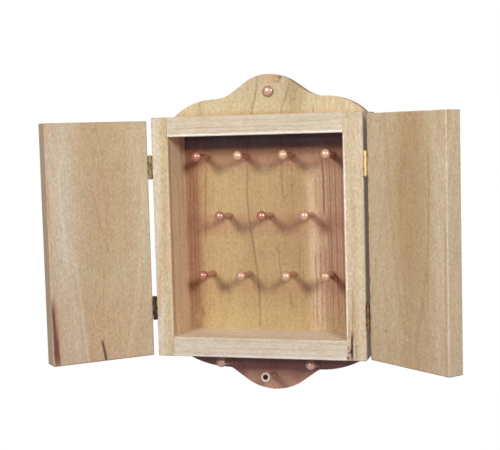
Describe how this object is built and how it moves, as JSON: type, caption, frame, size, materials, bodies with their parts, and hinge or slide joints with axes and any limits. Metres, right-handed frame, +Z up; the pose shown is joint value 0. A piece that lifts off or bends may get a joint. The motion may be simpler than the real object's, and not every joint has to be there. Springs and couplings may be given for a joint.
{
  "type": "jewelry wall cabinet",
  "caption": "Shallow wooden wall cabinet with hinged overlay doors that open like a book, a shaped crest and apron, and turned pegs for hanging jewelry or keys.",
  "frame": {"origin": "centre of the back panel's rear face, which lies against the wall", "axes": "+X is the viewer's right, +Y points into the wall, +Z is up; the doors stand open at rest"},
  "size_m": [0.4325, 0.1541, 0.3486],
  "materials": {
    "case_wood": "bare sanded wood, cream with a pinkish tone",
    "back_wood": "bare sanded wood, golden tan with dark grain lines and reddish streaks",
    "door_wood": "bare sanded wood, greyish tan with broad figure",
    "turned_wood": "turned hardwood, pinkish brown, smooth",
    "brass": "satin brass plate, dulled",
    "steel": "bright zinc plate"
  },
  "bodies": {
    "cabinet": {"back_panel": "back_wood", "left_side": "case_wood", "right_side": "case_wood", "top_board": "case_wood", "bottom_board": "case_wood", "crest_button": "turned_wood", "top_peg_1": "turned_wood", "top_peg_2": "turned_wood", "top_peg_3": "turned_wood", "top_peg_4": "turned_wood", "middle_peg_1": "turned_wood", "middle_peg_2": "turned_wood", "middle_peg_3": "turned_wood", "bottom_peg_1": "turned_wood", "bottom_peg_2": "turned_wood", "bottom_peg_3": "turned_wood", "bottom_peg_4": "turned_wood", "apron_peg_left": "turned_wood", "apron_peg_middle": "turned_wood", "apron_peg_right": "turned_wood", "left_upper_frame_leaf": "brass", "left_lower_frame_leaf": "brass", "right_upper_frame_leaf": "brass", "right_lower_frame_leaf": "brass", "left_upper_hinge_pin": "brass", "left_lower_hinge_pin": "brass", "right_upper_hinge_pin": "brass", "right_lower_hinge_pin": "brass", "frame_hinge_screws": "brass", "side_nails": "steel", "back_screws": "steel"},
    "left_door": {"left_door": "door_wood", "left_knob": "turned_wood", "left_upper_door_leaf": "brass", "left_lower_door_leaf": "brass", "left_door_hinge_screws": "brass"},
    "right_door": {"right_door": "door_wood", "right_knob": "turned_wood", "right_upper_door_leaf": "brass", "right_lower_door_leaf": "brass", "right_door_hinge_screws": "brass"}
  },
  "joints": [
    {"name": "left_door_hinge", "type": "hinge", "parent": "cabinet", "child": "left_door", "pos_m": [-0.1169, -0.0765, 0], "axis": [0, 0, -1], "range_deg": [-137.4, 42.6]},
    {"name": "right_door_hinge", "type": "hinge", "parent": "cabinet", "child": "right_door", "pos_m": [0.1169, -0.0765, 0], "axis": [0, 0, 1], "range_deg": [-140.4, 39.6]}
  ]
}
